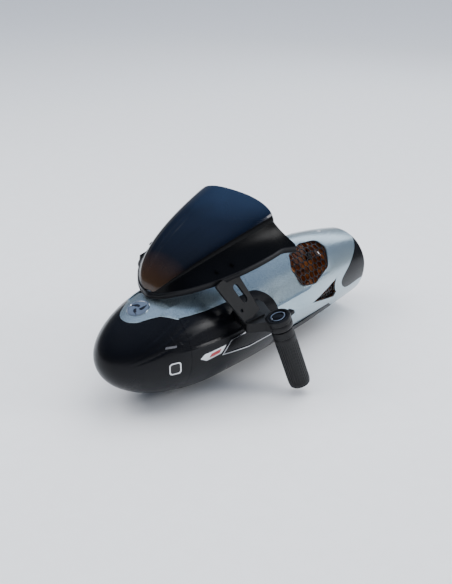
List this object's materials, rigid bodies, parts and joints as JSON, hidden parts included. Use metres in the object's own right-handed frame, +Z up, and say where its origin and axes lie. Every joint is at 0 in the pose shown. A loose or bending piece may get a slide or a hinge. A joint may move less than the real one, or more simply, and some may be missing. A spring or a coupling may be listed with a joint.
{
  "type": "underwater scooter",
  "caption": "Torpedo-shaped underwater scooter with smoked windshield, upright side grips, honeycomb water intakes and rear jet outlet.",
  "frame": {"origin": "on the resting plane, under the middle of the hull's length and width, at the belly pad's flat underside", "axes": "+Z up, nose towards -Y, +X to the rider's left"},
  "size_m": [0.3748, 0.59, 0.3062],
  "materials": {
    "black_gloss": "moulded, high gloss",
    "silver_paint": "pearl silver-blue paint, satin clear coat",
    "black_plastic": "fine moulded texture",
    "rubber": "soft matt rubber",
    "chrome_trim": "bright satin chrome",
    "button_gloss": "polished",
    "grille_black": "satin",
    "bracket_black": "matt powder coat",
    "smoked_screen": "dark smoked polycarbonate, almost opaque",
    "steel": "ground",
    "bronze": "bronze anodised, finned",
    "bronze_plastic": "bronze-coloured moulding, colour guessed from what shows through the grille",
    "aluminium": "machined",
    "copper": "enamelled windings and steel teeth",
    "terminal_brass": "plated",
    "cell_wrap": "shrink wrap"
  },
  "bodies": {
    "hull": {"battery_bay": "black_plastic", "battery_socket": "black_plastic", "bearing_carriers": "black_plastic", "belly_pad": "rubber", "body_shell": "black_gloss", "controller_case": "aluminium", "cover_screws": "steel", "grip_arm_left": "black_plastic", "grip_arm_right": "black_plastic", "grip_core_left": "aluminium", "grip_core_right": "aluminium", "grip_end_caps": "black_plastic", "grip_head_left": "black_plastic", "grip_head_right": "black_plastic", "grip_sleeve_left": "rubber", "grip_sleeve_right": "rubber", "guide_vanes": "bronze_plastic", "intake_grille_left": "grille_black", "intake_grille_right": "grille_black", "keel_cover": "black_plastic", "lever_pins": "steel", "motor_bearings": "steel", "motor_bulkhead": "aluminium", "motor_can": "bronze", "motor_stator": "copper", "outlet_guard": "black_plastic", "pump_duct": "bronze_plastic", "shaft_seal": "rubber", "side_badge_left": "chrome_trim", "side_badge_right": "chrome_trim", "side_frame_left": "chrome_trim", "side_frame_right": "chrome_trim", "side_mesh_left": "grille_black", "side_mesh_right": "grille_black", "tail_shroud": "black_gloss", "upper_cover": "silver_paint", "windshield": "smoked_screen", "windshield_bolts": "steel", "windshield_bracket_left": "bracket_black", "windshield_bracket_right": "bracket_black", "windshield_rim": "bracket_black"},
    "nose_module": {"nose_shell": "black_gloss", "nose_plate": "silver_paint", "nose_badge": "chrome_trim", "release_frame_left": "chrome_trim", "release_frame_right": "chrome_trim", "nose_bulkhead": "black_plastic", "nose_seal": "rubber", "battery_case": "black_plastic", "battery_cells": "cell_wrap", "battery_terminals": "terminal_brass"},
    "release_button_left": {"release_button_left": "button_gloss"},
    "release_button_right": {"release_button_right": "button_gloss"},
    "thumb_lever_left": {"thumb_lever_left": "black_plastic"},
    "thumb_lever_right": {"thumb_lever_right": "black_plastic"},
    "grip_button_left": {"grip_button_left": "button_gloss"},
    "grip_button_right": {"grip_button_right": "button_gloss"},
    "rotor": {"impeller": "bronze_plastic", "drive_shaft": "steel", "motor_rotor": "steel"}
  },
  "joints": [
    {"name": "battery_slide", "type": "slide", "parent": "hull", "child": "nose_module", "axis": [0, -1, 0], "range_m": [0, 0.18]},
    {"name": "release_left_press", "type": "slide", "parent": "nose_module", "child": "release_button_left", "axis": [-0.9482, 0.3177, 0], "range_m": [0, 0.0025], "stiffness_N_per_m": 1200, "springref_m": -0.0005},
    {"name": "release_right_press", "type": "slide", "parent": "nose_module", "child": "release_button_right", "axis": [0.9482, 0.3177, 0], "range_m": [0, 0.0025], "stiffness_N_per_m": 1200, "springref_m": -0.0005},
    {"name": "impeller_spin", "type": "hinge", "parent": "hull", "child": "rotor", "pos_m": [0, 0.225, 0.098], "axis": [0, 1, 0], "continuous": true},
    {"name": "throttle_left_press", "type": "hinge", "parent": "hull", "child": "thumb_lever_left", "pos_m": [0.15306, -0.0409, 0.14231], "axis": [-0.9906, 0, -0.137], "range_deg": [0, 14], "stiffness_Nm_per_rad": 0.05, "springref_deg": -5.73},
    {"name": "grip_button_left_press", "type": "slide", "parent": "hull", "child": "grip_button_left", "axis": [0.131, 0.2921, -0.9474], "range_m": [0, 0.002], "stiffness_N_per_m": 800, "springref_m": -0.0005},
    {"name": "throttle_right_press", "type": "hinge", "parent": "hull", "child": "thumb_lever_right", "pos_m": [-0.15306, -0.0409, 0.14231], "axis": [-0.9906, 0, 0.137], "range_deg": [0, 14], "stiffness_Nm_per_rad": 0.05, "springref_deg": -5.73},
    {"name": "grip_button_right_press", "type": "slide", "parent": "hull", "child": "grip_button_right", "axis": [-0.131, 0.2921, -0.9474], "range_m": [0, 0.002], "stiffness_N_per_m": 800, "springref_m": -0.0005}
  ]
}
